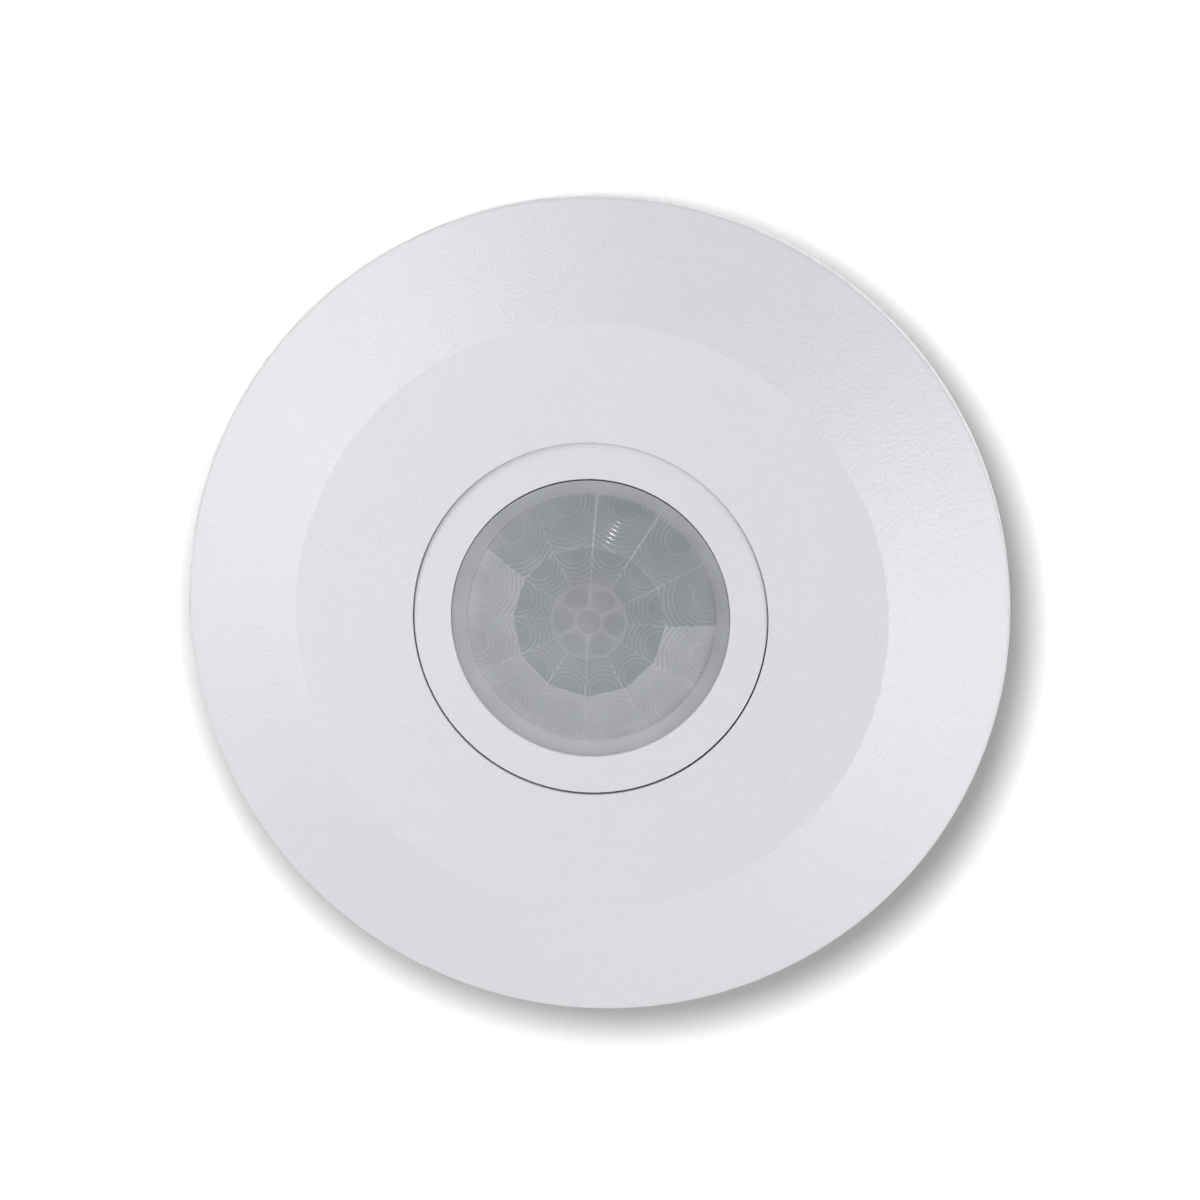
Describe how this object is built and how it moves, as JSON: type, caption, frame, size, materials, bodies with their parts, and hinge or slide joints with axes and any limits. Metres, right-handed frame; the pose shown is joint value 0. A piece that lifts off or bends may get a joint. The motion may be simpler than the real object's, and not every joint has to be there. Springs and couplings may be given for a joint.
{
  "type": "ceiling motion sensor",
  "caption": "Round flush ceiling motion sensor: wide bevelled trim cover, segmented lens, cylindrical housing with sprung wing clips and a lidded terminal block.",
  "frame": {"origin": "centre of the housing's flat rear face, on the axis of the round cover", "axes": "+Z the way the lens looks, +X towards the right wing clip, -Y towards the terminal lid"},
  "size_m": [0.11, 0.11, 0.0479],
  "materials": {
    "cover_plastic": "cool white, fine moulded grain",
    "body_plastic": "white, smooth moulding",
    "lens_plastic": "milky grey polyethylene with moulded grooves",
    "dial_plastic": "white, smooth",
    "grey_rubber": "dull grey",
    "zinc_sheet": "zinc plated",
    "spring_wire": "drawn wire",
    "steel_pin": "bright drawn",
    "steel_screw": "zinc plated",
    "circuit_board": "green solder resist",
    "black_plastic": "black moulding",
    "can_metal": "nickel plated can",
    "filter_silicon": "dark coated silicon",
    "clear_plastic": "clear moulded resin",
    "red_plastic": "red tinted resin",
    "blue_plastic": "blue trimmer body",
    "relay_plastic": "blue relay cover",
    "yellow_plastic": "yellow moulded case",
    "capacitor_sleeve": "black shrink sleeve",
    "varistor_coat": "dipped epoxy",
    "ferrite": "dull ferrite with dark sleeve",
    "resistor_coat": "matt fireproof coating",
    "terminal_plastic": "green moulded nylon",
    "plated_brass": "plated brass"
  },
  "bodies": {
    "root": {"lens_bezel": "cover_plastic", "fresnel_lens": "lens_plastic", "front_body": "body_plastic", "rear_housing": "body_plastic", "terminal_lid_pin": "steel_pin", "cable_plate": "body_plastic", "cable_grommet": "grey_rubber", "clip_spring_right": "spring_wire", "clip_spring_left": "spring_wire", "clip_pin_right": "steel_pin", "clip_pin_left": "steel_pin", "sensor_board": "circuit_board", "power_board": "circuit_board", "board_header": "black_plastic", "pir_spacer": "body_plastic", "pir_sensor": "can_metal", "pir_window": "filter_silicon", "light_sensor": "clear_plastic", "indicator_led": "red_plastic", "control_chip": "black_plastic", "trimmer_time": "blue_plastic", "trimmer_lux": "blue_plastic", "trimmer_range": "blue_plastic", "relay": "relay_plastic", "film_capacitor": "yellow_plastic", "bulk_capacitor": "capacitor_sleeve", "varistor": "varistor_coat", "bridge_rectifier": "black_plastic", "choke": "ferrite", "fuse_resistor": "resistor_coat", "terminal_block": "terminal_plastic", "terminal_contact_1": "plated_brass", "terminal_contact_2": "plated_brass", "terminal_contact_3": "plated_brass", "housing_screw_1": "steel_screw", "housing_screw_2": "steel_screw", "housing_screw_3": "steel_screw", "housing_screw_4": "steel_screw", "sensor_board_screw_1": "steel_screw", "sensor_board_screw_2": "steel_screw", "sensor_board_screw_3": "steel_screw", "power_board_screw_1": "steel_screw", "power_board_screw_2": "steel_screw"},
    "cover": {"trim_cover": "cover_plastic"},
    "wing_right": {"wing_clip_right": "zinc_sheet"},
    "wing_left": {"wing_clip_left": "zinc_sheet"},
    "lid": {"terminal_lid": "body_plastic"},
    "time_dial": {"dial_time": "dial_plastic"},
    "lux_dial": {"dial_lux": "dial_plastic"},
    "range_dial": {"dial_range": "dial_plastic"},
    "clamp_screw_1": {"terminal_screw_1": "steel_screw"},
    "clamp_screw_2": {"terminal_screw_2": "steel_screw"},
    "clamp_screw_3": {"terminal_screw_3": "steel_screw"},
    "cage_1": {"terminal_cage_1": "plated_brass"},
    "cage_2": {"terminal_cage_2": "plated_brass"},
    "cage_3": {"terminal_cage_3": "plated_brass"}
  },
  "joints": [
    {"name": "cover_pull", "type": "slide", "parent": "root", "child": "cover", "axis": [0, 0, 1], "range_m": [0, 0.025]},
    {"name": "wing_right_fold", "type": "hinge", "parent": "root", "child": "wing_right", "pos_m": [0.03, 0, 0.029], "axis": [0, 1, 0], "range_deg": [0, 98], "stiffness_Nm_per_rad": 0.05, "springref_deg": -40.11},
    {"name": "wing_left_fold", "type": "hinge", "parent": "root", "child": "wing_left", "pos_m": [-0.03, 0, 0.029], "axis": [0, -1, 0], "range_deg": [0, 98], "stiffness_Nm_per_rad": 0.05, "springref_deg": -40.11},
    {"name": "lid_hinge", "type": "hinge", "parent": "root", "child": "lid", "pos_m": [0, -0.0283, 0.0244], "axis": [-1, 0, 0], "range_deg": [0, 100]},
    {"name": "time_adjust", "type": "hinge", "parent": "root", "child": "time_dial", "pos_m": [-0.01115, 0.02503, 0.036], "axis": [0, 0, -1], "range_deg": [0, 270]},
    {"name": "lux_adjust", "type": "hinge", "parent": "root", "child": "lux_dial", "pos_m": [0, 0.0274, 0.036], "axis": [0, 0, -1], "range_deg": [0, 270]},
    {"name": "range_adjust", "type": "hinge", "parent": "root", "child": "range_dial", "pos_m": [0.01115, 0.02503, 0.036], "axis": [0, 0, -1], "range_deg": [0, 270]},
    {"name": "clamp_screw_1_turn", "type": "hinge", "parent": "root", "child": "clamp_screw_1", "pos_m": [-0.0075, -0.024, 0.0146], "axis": [0, 1, 0], "range_deg": [0, 1440]},
    {"name": "clamp_screw_2_turn", "type": "hinge", "parent": "root", "child": "clamp_screw_2", "pos_m": [0, -0.024, 0.0146], "axis": [0, 1, 0], "range_deg": [0, 1440]},
    {"name": "clamp_screw_3_turn", "type": "hinge", "parent": "root", "child": "clamp_screw_3", "pos_m": [0.0075, -0.024, 0.0146], "axis": [0, 1, 0], "range_deg": [0, 1440]},
    {"name": "cage_1_rise", "type": "slide", "parent": "root", "child": "cage_1", "axis": [0, -1, 0], "range_m": [0, 0.002]},
    {"name": "cage_2_rise", "type": "slide", "parent": "root", "child": "cage_2", "axis": [0, -1, 0], "range_m": [0, 0.002]},
    {"name": "cage_3_rise", "type": "slide", "parent": "root", "child": "cage_3", "axis": [0, -1, 0], "range_m": [0, 0.002]}
  ],
  "couplings": [
    {"joint": "clamp_screw_1_turn", "follows": "cage_1_rise", "rad_per_m": 12566},
    {"joint": "clamp_screw_2_turn", "follows": "cage_2_rise", "rad_per_m": 12566},
    {"joint": "clamp_screw_3_turn", "follows": "cage_3_rise", "rad_per_m": 12566}
  ]
}
